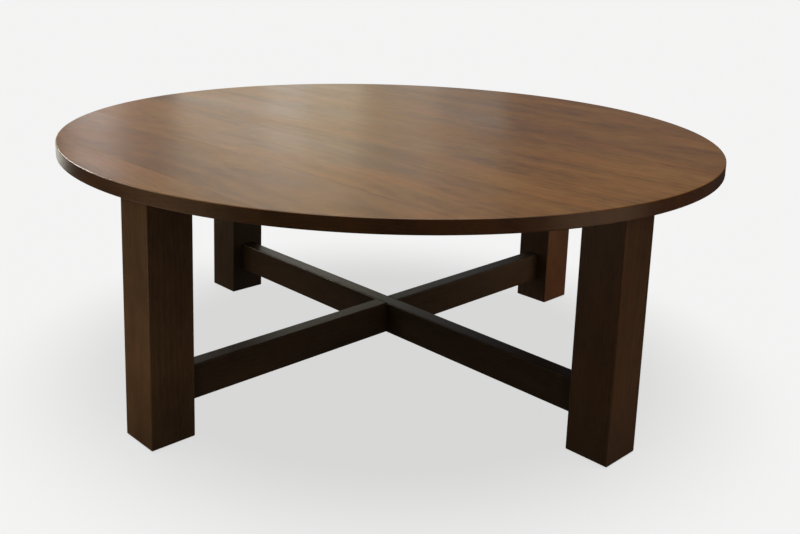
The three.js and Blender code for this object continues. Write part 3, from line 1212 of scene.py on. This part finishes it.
@dataclass
class Rail:
    """A rail with a tenon at each end, halved into its partner at the crossing.

    Args:
        level: Which cross it belongs to, lower or upper.
        lap: Which half of the crossing it keeps.
        ease: Radius of its long edges.
        joinery: Sizes of its tenons.
        tenon_length: Length of each tenon.
        pilot_diameter: Diameter of the screw holes in its flanks.
        screw_nearness: How far from the rail's middle its screws may lie, over half its thickness.
        cut_step: How far apart in the tree two neighbouring rails were cut.
        pith: How far the tree's middle lies to its side and below it.
        tone: What its colour is multiplied by.
        finish: The wood's finish.
    """

    level: Level
    lap: Lap
    ease: float = 2.3 * MM
    joinery: Joinery = Joinery()
    tenon_length: float = 45 * MM
    pilot_diameter: float = 4.6 * MM
    screw_nearness: float = 3.0
    cut_step: Point = (0.53, 0.29, 0.13)
    pith: Span = (0.03, 0.08)
    tone: Colour = (0.64, 0.69, 0.72)
    finish: WoodFinish = FRAME_STAIN

    def node(self) -> str:
        """The node's name."""
        return f"{self.level.value}_rail_{self.lap.value}"

    def partner(self) -> str:
        """The name of the rail that crosses this one."""
        other = Lap.UNDER if self.lap is Lap.OVER else Lap.OVER
        return f"{self.level.value}_rail_{other.value}"

    def grain(self) -> Grain:
        """The way its fibres run."""
        return Grain.ALONG_X if self.lap is Lap.OVER else Grain.ALONG_Y

    def run(self) -> int:
        """The axis that it runs along, 0 for X and 1 for Y."""
        return 0 if self.lap is Lap.OVER else 1

    def sections(self, half_length: float, half_width: float, half_height: float) -> tuple[np.ndarray, ...]:
        """The sections along the rail, from one tenon's end to the other's.

        The body's section is a rectangle with round corners, and a tenon's is a smaller one with as many
        points, so that the step between them is the shoulder.

        Args:
            half_length: Half the length, tenons and all.
            half_width: Half the thickness of the body.
            half_height: Half the height of the body.

        Returns:
            Outlines, their shares of eased edge, and their places along the rail.
        """
        joinery = self.joinery
        shoulder = half_length - self.tenon_length
        body, arris = eased_rectangle(half_width, half_height, self.ease)
        tenon, _ = eased_rectangle(
            joinery.tenon_thickness / 2, half_height - joinery.tenon_shoulder, joinery.tenon_ease
        )
        outlines = np.array([tenon, tenon, body, body, tenon, tenon])
        plain = np.zeros_like(arris)
        shares = np.array([plain, plain, arris, arris, plain, plain])
        places = np.array([-half_length, -shoulder, -shoulder, shoulder, shoulder, half_length])
        return outlines, shares, places

    def lap_cut(self) -> Surface:
        """The half of the crossing that is cut away for the partner, with the joint's play.

        Returns:
            The block to cut away.
        """
        joinery = self.joinery
        low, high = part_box(self.node())
        partner_low, partner_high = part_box(self.partner())
        run, across = self.run(), 1 - self.run()
        level = (low.z + high.z) / 2
        first, last = low.copy(), high.copy()
        first[run], last[run] = partner_low[run] - joinery.gap, partner_high[run] + joinery.gap
        first[across], last[across] = low[across] - joinery.overrun, high[across] + joinery.overrun
        if self.lap is Lap.OVER:
            first.z, last.z = low.z - joinery.overrun, level + joinery.gap / 2
        else:
            first.z, last.z = level - joinery.gap / 2, high.z + joinery.overrun
        return block(tuple(first), tuple(last))

    def pilot_holes(self) -> list[Surface]:
        """The screw holes in an upper rail's flanks, each a little longer than its screw.

        A screw belongs to this rail if its middle lies between the rail's ends, at its height and close to
        one of its flanks.

        Returns:
            One bar for each hole.
        """
        low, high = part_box(self.node())
        run, across = self.run(), 1 - self.run()
        holes = []
        for node in nodes_like(end="_rail_screw"):
            first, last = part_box(node)
            middle = (first + last) / 2
            inside = all(low[axis] < middle[axis] < high[axis] for axis in (run, 2))
            near = abs(middle[across]) < self.screw_nearness * high[across]
            if self.level is Level.UPPER and inside and near:
                point = min(abs(first[across]), abs(last[across]))
                holes.append(self.flank_hole(middle, point, high[across]))
        return holes

    def flank_hole(self, middle: Vector, point: float, flank: float) -> Surface:
        """One screw hole, from outside the flank to just past the screw's point.

        Args:
            middle: The screw's middle.
            point: From the rail's middle to the screw's point.
            flank: From the rail's middle to its flank.

        Returns:
            The bar to cut away.
        """
        across = 1 - self.run()
        turn = math.copysign(math.pi / 2, middle[across])
        low, high = point - self.joinery.gap, flank + self.joinery.overrun
        hole = bar(self.pilot_diameter, low, high, SMALL_HOLE_SIDES)
        lay = Matrix.Rotation(turn, 4, "Y") if across == 0 else Matrix.Rotation(-turn, 4, "X")
        return hole.placed(Matrix.Translation((middle.x * across, middle.y * (1 - across), middle.z)) @ lay)

    def wood(self) -> bpy.types.Mesh:
        """Makes the rail's mesh: its sections carried from one tenon's end to the other's.

        Returns:
            The mesh, in place.
        """
        low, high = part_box(self.node())
        sizes = (high - low) / 2
        run = self.run()
        outlines, arris, along = self.sections(sizes[run], sizes[1 - run], sizes.z)
        places = np.zeros((len(along), 3))
        places[:, run] = along
        places[:, 2] = (low.z + high.z) / 2
        across = (0, 1, 0) if run == 0 else (-1, 0, 0)
        solid = carried(outlines, arris, places, across, (0, 0, 1))
        return carved(mesh_of(solid, f"{self.node()}_wood"), [self.lap_cut()] + self.pilot_holes())

    def build(self, number: int) -> None:
        """Makes and dresses the rail.

        Args:
            number: Its number, from 1.
        """
        low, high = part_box(self.node())
        material = self.finish.material(
            f"stained_{self.node()}",
            self.grain(),
            counted(self.cut_step, number),
            self.pith,
            self.tone,
            # where the painted corner shade ends, at the shoulders
            shoulder=(high - low)[self.run()] / 2 - self.tenon_length,
        )
        settled(self.wood(), f"{self.node()}_wood", Slot.FRAME_WOOD, self.node(), material)


@dataclass(frozen=True)
class Screw:
    """A pan head wood screw with a cross recess, its head's seat at height zero and its point up.

    Args:
        length: From the seat to the point.
        head_diameter: Diameter of the head.
        head_height: Height of the head.
        crown_share: Radius of the head's flat crown, as a share of the head's radius.
        crown_rows: How many rows of points the crown has.
        seat_ease: Height of the head's straight side.
        core_diameter: Diameter between the threads.
        crest_diameter: Diameter over the threads.
        pitch: Height of one turn of thread.
        thread_rows: How many rows of points one turn has.
        ridge_peak: Height of the thread's wave before it is cut off at 1.
        ridge_slope: How fast the wave falls to either side, for one turn.
        point_share: Length of the pointed end, as a share of the length.
        point_end: Thickness of the very point, as a share of the shank's.
        recess_reach: Length of each arm of the recess, from the middle.
        recess_width: Width of its arms.
        recess_depth: Its depth.
        recess_ease: Radius of its corners.
        recess_steps: How many steps these have.
        recess_taper: Size of the recess at its bottom, as a share of its size at the top.
        segments: How many steps the turn has.
    """

    length: float = 15 * MM
    head_diameter: float = 8 * MM
    head_height: float = 2.6 * MM
    crown_share: float = 0.35
    crown_rows: int = 8
    seat_ease: float = 0.5 * MM
    core_diameter: float = 2.9 * MM
    crest_diameter: float = 4.2 * MM
    pitch: float = 1.5 * MM
    thread_rows: int = 10
    ridge_peak: float = 1.6
    ridge_slope: float = 6.4
    point_share: float = 0.3
    point_end: float = 0.05
    recess_reach: float = 2.1 * MM
    recess_width: float = 0.9 * MM
    recess_depth: float = 1.5 * MM
    recess_ease: float = 0.15 * MM
    recess_steps: int = 2
    recess_taper: float = 0.45
    segments: int = 24

    def head(self) -> np.ndarray:
        """Radii and heights of the head, from its crown to its seat.

        The crown is an ellipse: at angle t the radius is the head's times the sine of t, and the height is
        minus the rest of the head's height times the cosine of t, less the straight side.

        Returns:
            Rows of radius and height, shape (rows, 2).
        """
        radius = self.head_diameter / 2
        angles = np.linspace(math.asin(self.crown_share), np.pi / 2, self.crown_rows)
        dome = self.head_height - self.seat_ease
        crown = np.stack([radius * np.sin(angles), -self.seat_ease - dome * np.cos(angles)], axis=-1)
        crown[:, 1] *= self.head_height / -crown[0, 1]
        return np.vstack([crown, [[radius, 0.0]]])

    def surface(self) -> Surface:
        """The screw's skin.

        Over the shank the radius is the core's plus the thread's height times a ridge: a wave that goes
        straight up and down once for each pitch, less the share of a turn at which the point lies. Towards
        the point all of it shrinks evenly.

        Returns:
            The skin, closed.
        """
        head = self.head()
        angles = np.linspace(0, 2 * np.pi, self.segments, endpoint=False)
        heights = np.linspace(0, self.length, round(self.length / self.pitch) * self.thread_rows + 1)
        turn = heights[:, None] / self.pitch - angles / (2 * np.pi)
        ridge = np.clip(self.ridge_peak - self.ridge_slope * np.abs(turn % 1.0 - 0.5), 0, 1)
        core, crest = self.core_diameter / 2, self.crest_diameter / 2
        taper = np.clip((self.length - heights) / (self.length * self.point_share), self.point_end, 1)
        start = np.clip(heights / self.pitch, 0, 1)[:, None]
        shank = (core + (crest - core) * ridge * start) * taper[:, None]
        radii = np.vstack([head[:, :1] * np.ones(self.segments), shank])
        return swept(radii, np.concatenate([head[:, 1], heights]), self.segments)

    def recess(self) -> list[Surface]:
        """The cross in the crown.

        Returns:
            The two blades that cut it.
        """
        width = self.recess_width / 2
        top, arris = eased_rectangle(self.recess_reach, width, self.recess_ease, self.recess_steps, 0)
        heights = (-self.head_height - width, self.recess_depth - self.head_height)
        blade = risen(np.array([top, top * self.recess_taper]), np.zeros((2, len(arris))), heights)
        return [blade, blade.placed(Matrix.Rotation(math.pi / 2, 4, "Z"))]

    def mesh(self) -> bpy.types.Mesh:
        """The screw at the origin."""
        return carved(mesh_of(self.surface(), "screw"), self.recess())


@dataclass(frozen=True)
class Bracket:
    """A bent steel angle that holds the top to an upper rail, with a round hole and a slot.

    In its own frame one flange hangs down along -Z against the rail, and the other runs out along +Y under
    the top.

    Args:
        width: Its width along the rail.
        flange: Length of each flange.
        gauge: Thickness of the sheet.
        bend: Outer radius of the bend.
        corner: Radius of the flanges' corners.
        edge: Radius of the sheet's edges.
        screw_place: From the bend's outer faces to each screw.
        hole_diameter: Diameter of the hole and width of the slot.
        slot_length: Length of the slot.
        screw_gap: From the sheet to the seat of a screw's head.
        edge_steps: How many steps the sheet's edges have.
        slot_steps: How many steps each quarter of the slot's round ends has.
        corner_steps: How many steps a flange's corner has.
        bend_steps: How many steps the bend has.
    """

    width: float = 24 * MM
    flange: float = 28 * MM
    gauge: float = 2.5 * MM
    bend: float = 4 * MM
    corner: float = 3 * MM
    edge: float = 0.3 * MM
    screw_place: float = 16.8 * MM
    hole_diameter: float = 4.6 * MM
    slot_length: float = 12 * MM
    screw_gap: float = 0.3 * MM
    edge_steps: int = 2
    slot_steps: int = 8
    corner_steps: int = 6
    bend_steps: int = 8

    def surface(self) -> Surface:
        """The bent sheet's skin.

        A thin rectangle is carried up the rail flange, round a quarter circle and out along the top flange.
        Within a corner's radius of either end its half width is the full one less the radius, plus the height
        of the corner's circle there.

        Returns:
            The skin, closed.
        """
        middle = self.gauge / 2
        straight = self.flange - self.bend
        into = self.corner * (1 - np.cos(quarter_turn(self.corner_steps)))
        first = np.append(into, straight)
        bend = quarter_turn(self.bend_steps)[1:-1]
        run = np.concatenate([first, np.full(len(bend), straight), (straight - first[::-1])])
        angle = np.concatenate([np.zeros(len(first)), bend, np.full(len(first), np.pi / 2)])
        on_top = np.arange(len(run)) >= len(first) + len(bend)
        radius = self.bend - middle
        arc_y = self.bend - radius * np.cos(angle)
        arc_z = radius * np.sin(angle) - self.bend
        y = arc_y + np.where(on_top, run, 0)
        z = arc_z - np.where(on_top, 0, straight - run)
        end = np.minimum(np.where(on_top, straight - run, run), self.corner)
        half = self.width / 2 - self.corner + np.sqrt(self.corner**2 - (self.corner - end) ** 2)
        outlines, arris = zip(*[
            eased_rectangle(width, middle, self.edge, self.edge_steps, self.edge / 2) for width in half
        ])
        nothing = np.zeros_like(angle)
        places = np.stack([nothing, y, z], axis=-1)
        inward = np.stack([nothing, np.cos(angle), -np.sin(angle)], axis=-1)
        return carried(np.array(outlines), np.array(arris), places, (1, 0, 0), inward)

    def cuts(self, slot_across: bool) -> list[Surface]:
        """What is cut out of the sheet.

        Args:
            slot_across: Whether the slot runs across the rail.

        Returns:
            The hole in the rail flange and the slot in the top flange.
        """
        reach, half = self.gauge * 2, self.hole_diameter / 2
        lying = Matrix.Translation((0, 0, -self.screw_place)) @ Matrix.Rotation(-math.pi / 2, 4, "X")
        hole = bar(self.hole_diameter, -reach, reach, SMALL_HOLE_SIDES).placed(lying)
        outline, arris = eased_rectangle(self.slot_length / 2, half, half, self.slot_steps, 0)
        slot = risen(np.array([outline, outline]), np.array([arris, arris]), (-reach, reach))
        turn = Matrix.Rotation(math.pi / 2 if slot_across else 0, 4, "Z")
        return [hole, slot.placed(Matrix.Translation((0, self.screw_place, 0)) @ turn)]

    def mesh(self, slot_across: bool) -> bpy.types.Mesh:
        """The bracket at the origin, its slot across the rail or along it."""
        return carved(mesh_of(self.surface(), "bracket"), self.cuts(slot_across))


@dataclass
class Hardware:
    """The brackets under the top, each with its two screws.

    Args:
        bracket: The bracket's sizes.
        screw: The screw's sizes.
        finish: The plating.
    """

    bracket: Bracket = Bracket()
    screw: Screw = Screw()
    finish: ZincFinish = ZincFinish()

    def seat(self, node: str) -> tuple[Matrix, bool]:
        """Where a bracket goes.

        A bracket's rail runs along the axis on which the bracket lies further from the table's middle, and
        the bracket's other side faces away from it. Its corner lies on the face nearest the rail, at the top.

        Args:
            node: The bracket's node.

        Returns:
            The matrix from the bracket's own frame, and whether its slot runs across its rail.
        """
        low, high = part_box(node)
        middle = (low + high) / 2
        along_boards = abs(middle.x) > abs(middle.y)
        across = 1 if along_boards else 0
        away, corner = Vector((0, 0, 0)), Vector((middle.x, middle.y, high.z))
        away[across] = math.copysign(1, middle[across])
        corner[across] = math.copysign(min(abs(low[across]), abs(high[across])), middle[across])
        angle = math.atan2(away.y, away.x) - math.pi / 2
        return Matrix.Translation(corner) @ Matrix.Rotation(angle, 4, "Z"), along_boards

    def screws(self) -> dict[str, Matrix]:
        """Where the two screws go in the bracket's own frame.

        Returns:
            The screws' matrices, by the end of their nodes' names.
        """
        seat = self.bracket.gauge + self.bracket.screw_gap
        place = self.bracket.screw_place
        return {
            "rail_screw": Matrix.Translation((0, seat, -place)) @ Matrix.Rotation(math.pi / 2, 4, "X"),
            "top_screw": Matrix.Translation((0, place, -seat)),
        }

    def build(self) -> None:
        """Makes and dresses every bracket and screw."""
        plating = self.finish.material()
        angles = {across: self.bracket.mesh(across) for across in (True, False)}
        pattern = self.screw.mesh()
        for node in sorted(set(nodes_like("bracket_")) - set(nodes_like(end="_screw"))):
            matrix, across = self.seat(node)
            mesh = angles[across].copy()
            mesh.transform(matrix)
            settled(mesh, f"{node}_bent", Slot.ZINC_STEEL, node, plating)
            for part, place in self.screws().items():
                mesh = pattern.copy()
                mesh.transform(matrix @ place)
                settled(mesh, f"{node}_{part}_threaded", Slot.ZINC_STEEL, f"{node}_{part}", plating)
        for spent in [*angles.values(), pattern]:
            bpy.data.meshes.remove(spent)


@dataclass
class Glide:
    """A nylon foot glide: a flat round head with eased edges, and a pin that is driven into the leg.

    Args:
        side: The leg that it is under.
        diameter: Diameter of the head.
        height: Height of the head.
        foot_ease: Radius of the lower edge.
        top_ease: Radius of the upper edge.
        top_steps: How many steps it has.
        pin_diameter: Diameter of the pin.
        fillet: Radius between the head and the pin.
        fillet_steps: How many steps it has.
        tip_share: Radius of the pin's tip, as a share of the pin's.
        segments: How many steps the turn has.
    """

    side: Side
    diameter: float = 28 * MM
    height: float = 4 * MM
    foot_ease: float = 0.8 * MM
    top_ease: float = 0.4 * MM
    top_steps: int = 3
    pin_diameter: float = 5 * MM
    fillet: float = 1 * MM
    fillet_steps: int = 4
    tip_share: float = 0.12
    segments: int = 64

    def profile(self, top: float) -> np.ndarray:
        """Radii and heights from the underside to the pin's tip.

        Both edges of the head and the fillet are quarter circles, and the pin's end is a straight taper as
        long as the pin is thick.

        Args:
            top: Height of the pin's tip.

        Returns:
            Rows of radius and height, shape (rows, 2).
        """
        head, pin = self.diameter / 2, self.pin_diameter / 2
        inset, depth, _ = eased_edge(self.foot_ease)
        foot = np.stack([head - inset, depth], axis=-1)
        inset, depth, _ = eased_edge(self.top_ease, self.top_steps)
        crown = np.stack([head - inset, self.height - depth], axis=-1)[::-1]
        inset, depth, _ = eased_edge(self.fillet, self.fillet_steps)
        neck = np.stack([pin + inset, self.height + depth], axis=-1)[1:-1]
        taper = np.array([[pin, top - self.pin_diameter], [pin * self.tip_share, top]])
        return np.vstack([foot, crown, neck, taper])

    def build(self, material: bpy.types.Material) -> None:
        """Makes and dresses the glide.

        Args:
            material: The nylon.
        """
        node = f"glide_{self.side.value}"
        low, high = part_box(node)
        middle = (low + high) / 2
        place = Matrix.Translation((middle.x, middle.y, low.z))
        radii, heights = np.hsplit(self.profile(high.z), 2)
        solid = swept(radii, heights[:, 0], self.segments).placed(place)
        settled(mesh_of(solid, f"{node}_moulded"), f"{node}_moulded", Slot.GLIDE_NYLON, node, material)


@dataclass(frozen=True)
class SoftLight:
    """A rectangular studio light that the camera doesn't see and that leaves the floor alone.

    Args:
        name: Its name.
        place: Where it hangs.
        aim: The point that it faces.
        width: Its width.
        height: Its height.
        brightness: How bright its face is, where 1 makes it look white.
        colour: Its colour.
        sheen_only: Whether it only shows as a sheen and gives no even light.
    """

    name: str
    place: Point
    aim: Point
    width: float
    height: float
    brightness: float
    colour: Colour = WHITE
    sheen_only: bool = False

    def hang(self, lit: bpy.types.Collection) -> None:
        """Hangs the light in the scene.

        A light of brightness b and area A has the power b times pi times A.

        Args:
            lit: Says what the light falls on.
        """
        lamp = bpy.data.lights.new(self.name, "AREA")
        lamp.shape = "RECTANGLE"
        lamp.size = self.width
        lamp.size_y = self.height
        lamp.energy = self.brightness * math.pi * self.width * self.height
        lamp.color = self.colour
        holder = shown(self.name, lamp)
        holder.location = self.place
        away = Vector(self.place) - Vector(self.aim)
        holder.rotation_euler = away.to_track_quat("Z", "Y").to_euler()
        holder.visible_camera = False
        holder.visible_diffuse = not self.sheen_only
        holder.light_linking.receiver_collection = lit


@dataclass(frozen=True)
class PaleWall:
    """A row of upright light strips far behind the table, seen only as the sheen on the wood.

    The wall stands square to the camera's way of looking. Each strip is given by where its two sides would
    stand in the picture, so the sheen that it gives lies in the same columns.

    Args:
        distance: From the table's middle to the wall.
        low: Height of its lower edge.
        high: Height of its upper edge.
        strips: For each strip its left and right column in the picture, its brightness and its colour.
    """

    distance: float = 1.6
    low: float = 0.25
    high: float = 1.25
    strips: tuple[tuple[float, float, float, Colour], ...] = (
        (60, 112, 1.1, (1.0, 0.97, 1.0)),
        (112, 172, 0.28, (1.0, 0.95, 0.95)),
        (172, 262, 0.9, (1.0, 0.97, 0.85)),
        (262, 302, 1.17, (1.0, 1.0, 0.9)),
        (302, 360, 0.98, (1.0, 0.96, 0.77)),
        (360, 395, 0.54, (1.0, 0.96, 0.77)),
        (395, 437, 0.58, (1.0, 1.0, 0.91)),
        (437, 505, 0.34, (0.86, 1.0, 1.05)),
        (505, 750, 0.12, (0.5, 0.7, 1.0)),
    )

    def lights(self, camera: Vector, azimuth: float, focal: float, column: float) -> list[SoftLight]:
        """The strips as lights.

        A column c of the picture is seen at the sideways angle whose tangent is (c less the optical axis)
        over the focal length, so on the wall it stands that tangent times the way from the camera to the wall
        to the side.

        Args:
            camera: Where the camera stands.
            azimuth: The camera's azimuth in radians.
            focal: Its focal length in pixels.
            column: The column of its optical axis.

        Returns:
            One light for each strip.
        """
        away = Vector((-math.sin(azimuth), math.cos(azimuth), 0))
        side = Vector((math.cos(azimuth), math.sin(azimuth), 0))
        reach = self.distance - camera.dot(away)
        height = self.high - self.low
        middle = away * self.distance + Vector((0, 0, (self.low + self.high) / 2))
        made = []
        for number, (left, right, brightness, colour) in enumerate(self.strips):
            first, last = (camera.dot(side) + reach * (edge - column) / focal for edge in (left, right))
            place = middle + side * (first + last) / 2
            name, aim = f"strip_{number}", tuple(place - away)
            made.append(SoftLight(name, tuple(place), aim, last - first, height, brightness, colour))
        return made


@dataclass
class Studio:
    """A plain pale floor that runs into a pale surround, under soft lights.

    Args:
        floor_radius: Radius of the floor.
        floor_segments: How many sides it has.
        floor_colour: Colour of the floor.
        floor_cloud: The faint clouds on it.
        floor_dim: What its colour is multiplied by in the clouds.
        floor_roughness: Its roughness.
        pale: How bright the floor and the surround look.
        glow: The share of the floor's brightness that shadows leave.
        fill: Strength of the light that comes evenly from all around.
        sky: Strength of the wide light from above.
        sky_angle: Its width.
        lights: The side lights.
    """

    floor_radius: float = 30.0
    floor_segments: int = 96
    floor_colour: Colour = (0.28, 0.28, 0.279)
    floor_cloud: Pattern = Pattern((2.0, 2.0, 2.0), 2.0)
    floor_dim: float = 0.985
    floor_roughness: float = 0.9
    pale: Colour = (0.9, 0.9, 0.897)
    glow: float = 0.68
    fill: float = 0.04
    sky: float = 0.75
    sky_angle: float = math.radians(44)
    lights: tuple[SoftLight, ...] = (
        SoftLight("left_far", (-1.8, -0.1, 0.2), (-0.4, -0.1, 0.2), 1.0, 0.4, 1.45, (1.0, 1.0, 0.88)),
        SoftLight("left_low", (-0.15, -1.05, 0.1), (0.0, -0.55, 0.2), 0.5, 0.2, 1.8, (1.0, 0.75, 0.5)),
        SoftLight("left_arris", (-2.0, -0.9, 1.2), (-0.1, -0.6, 0.45), 1.8, 0.4, 12, (1.0, 0.96, 0.88), True),
        SoftLight("left_high", (-0.5, -1.3, 0.75), (0.0, -0.5, 0.3), 0.5, 0.4, 2.5, (0.9, 1.0, 0.9)),
        SoftLight("right_near", (1.15, 0.12, 0.25), (0.55, 0.0, 0.25), 0.5, 0.25, 0.95, (1.0, 0.68, 0.45)),
        SoftLight("right_back", (0.42, 0.66, 0.16), (0.05, 0.5, 0.17), 0.3, 0.25, 1.25, (1.0, 0.86, 0.68)),
        SoftLight("right_far", (2.4, 0.0, 1.2), (0.0, 0.0, 0.3), 1.5, 1.0, 1.05, (0.92, 0.96, 1.0)),
    )

    def floor(self) -> bpy.types.Object:
        """Makes the floor, one flat round face under a very faint cloudy tone.

        Returns:
            The floor.
        """
        angles = np.linspace(0, 2 * np.pi, self.floor_segments, endpoint=False)
        circle = np.stack([np.cos(angles), np.sin(angles), np.zeros_like(angles)], axis=-1)
        mesh = bpy.data.meshes.new("floor")
        mesh.from_pydata((circle * self.floor_radius).tolist(), [], [list(range(len(circle)))])
        recipe = Recipe.named("pale_floor")
        cloud = recipe.noise(recipe.coordinates(), self.floor_cloud)
        dim = tuple(self.floor_dim * part for part in self.floor_colour)
        mesh.materials.append(recipe.finished({
            "Base Color": recipe.mixed(cloud, paint(self.floor_colour), paint(dim)),
            "Roughness": self.floor_roughness,
            "Specular IOR Level": 0.0,
            "Emission Color": paint(self.pale),
            "Emission Strength": self.glow / self.pale[0],
        }))
        floor = shown("floor", mesh)
        floor.visible_diffuse = False
        floor.visible_glossy = False
        return floor

    def surround(self) -> None:
        """Makes the surround: pale to the camera, and an even fill light to everything else."""
        world = bpy.data.worlds.new("surround")
        recipe = Recipe.of(world)
        seen = recipe.node("Background", {"Color": paint(self.pale), "Strength": 1.0}).outputs[0]
        felt = recipe.node("Background", {"Color": paint(WHITE), "Strength": self.fill}).outputs[0]
        by_camera = recipe.node("LightPath").outputs["Is Camera Ray"]
        mix = recipe.node("MixShader", {0: by_camera, 1: felt, 2: seen}).outputs[0]
        recipe.node("OutputWorld", {"Surface": mix})
        bpy.context.scene.world = world

    def overhead(self) -> None:
        """Hangs the wide light from above. Its strength is the brightness that it gives a white floor."""
        lamp = bpy.data.lights.new("overhead", "SUN")
        lamp.energy = self.sky * math.pi
        lamp.angle = self.sky_angle
        shown("overhead", lamp)

    def build(self, strips: list[SoftLight]) -> None:
        """Lays the floor, hangs the lights and sets how light becomes picture.

        Args:
            strips: The lights that give the wood its sheen.
        """
        floor = self.floor()
        self.surround()
        self.overhead()
        lit = bpy.data.collections.new("lit_by_soft_lights")
        lit.objects.link(floor)
        lit.collection_objects[0].light_linking.link_state = "EXCLUDE"
        for light in [*self.lights, *strips]:
            light.hang(lit)
        bpy.context.scene.view_settings.view_transform = "Standard"
        log.info("studio: %d lights", len(self.lights) + len(strips))


@dataclass
class PhotoCamera:
    """The camera at the photograph's angle. Lengths are shares of the top's radius, and places in the picture
    are pixels of a frame 800 wide and 534 high.

    Args:
        azimuth: Degrees round from -Y towards +X.
        elevation: Degrees above the horizon.
        roll: Degrees that the picture is turned.
        distance_share: Distance from the aim.
        aim_right_share: How far the aim lies right of the middle of the top.
        aim_up_share: How far the aim lies above it.
        middle_height_share: Height of the top's middle.
        focal_pixels: Focal length.
        optical_x: Where the optical axis meets the picture, from the left.
        optical_y: The same from the top.
        frame_width: Width of the picture.
        frame_height: Height of the picture.
        sensor: Width of the sensor in millimetres.
    """

    azimuth: float = 45.1736
    elevation: float = 11.8692
    roll: float = 1.9224
    distance_share: float = 3.0294
    aim_right_share: float = 0.0234
    aim_up_share: float = -0.0542
    middle_height_share: float = 0.75
    focal_pixels: float = 962.83
    optical_x: float = 400.0
    optical_y: float = 147.0
    frame_width: float = 800.0
    frame_height: float = 534.0
    sensor: float = 36.0

    def build(self) -> Vector:
        """Places the camera and makes it the scene's.

        Returns:
            Where it stands.
        """
        unit = cad_box[1].x
        around, above, roll = (math.radians(part) for part in (self.azimuth, self.elevation, self.roll))
        back = Vector((
            math.sin(around) * math.cos(above), -math.cos(around) * math.cos(above), math.sin(above)
        ))
        level_right = (-back).cross(Vector((0, 0, 1))).normalized()
        level_up = level_right.cross(-back)
        right = level_right * math.cos(roll) + level_up * math.sin(roll)
        up = level_up * math.cos(roll) - level_right * math.sin(roll)
        aim = Vector((0, 0, self.middle_height_share)) + self.aim_right_share * right + self.aim_up_share * up
        place = (aim + back * self.distance_share) * unit
        lens = bpy.data.cameras.new("photo_camera")
        lens.sensor_fit = "HORIZONTAL"
        lens.sensor_width = self.sensor
        lens.lens = self.focal_pixels / self.frame_width * self.sensor
        lens.shift_x = (self.frame_width / 2 - self.optical_x) / self.frame_width
        lens.shift_y = (self.optical_y - self.frame_height / 2) / self.frame_width
        camera = shown("photo_camera", lens)
        camera.matrix_world = Matrix.Translation(place) @ Matrix((right, up, back)).transposed().to_4x4()
        bpy.context.scene.camera = camera
        log.info("camera: at %s", tuple(round(part, 3) for part in place))
        return place


FOOT_SHADE: Colour = (0.62, 0.66, 0.72)  # painted shade on the feet of the two near legs
LEG_TONES_AND_FOOT_SHADES: dict[Side, tuple[Colour, Colour]] = {  # what a leg's colour is multiplied by, and the painted shade on its foot
    Side.FRONT_RIGHT: ((1.02, 0.96, 0.93), FOOT_SHADE),
    Side.BACK_RIGHT: ((1.3, 1.05, 1.0), WHITE),
    Side.BACK_LEFT: ((0.95, 1.01, 1.08), WHITE),
    Side.FRONT_LEFT: ((1.32, 1.32, 1.26), FOOT_SHADE),
}


def main() -> None:
    """Builds the camera and the studio, then the table piece by piece."""
    logging.basicConfig(level=logging.INFO, format="%(message)s", stream=sys.stdout)
    camera = PhotoCamera()
    place = camera.build()
    azimuth = math.radians(camera.azimuth)
    Studio().build(PaleWall().lights(place, azimuth, camera.focal_pixels, camera.optical_x))
    TableTop().build()
    for number, side in enumerate(Side):
        tone, foot = LEG_TONES_AND_FOOT_SHADES[side]
        Leg(side, number * math.pi / 2, tone, foot).build(number + 1)
    crosses = [(level, lap) for level in Level for lap in Lap]
    for number, (level, lap) in enumerate(crosses, 1):
        Rail(level, lap).build(number)
    Hardware().build()
    nylon = NylonFinish().material()
    for side in Side:
        Glide(side).build(nylon)


if __name__ == "__main__":
    main()
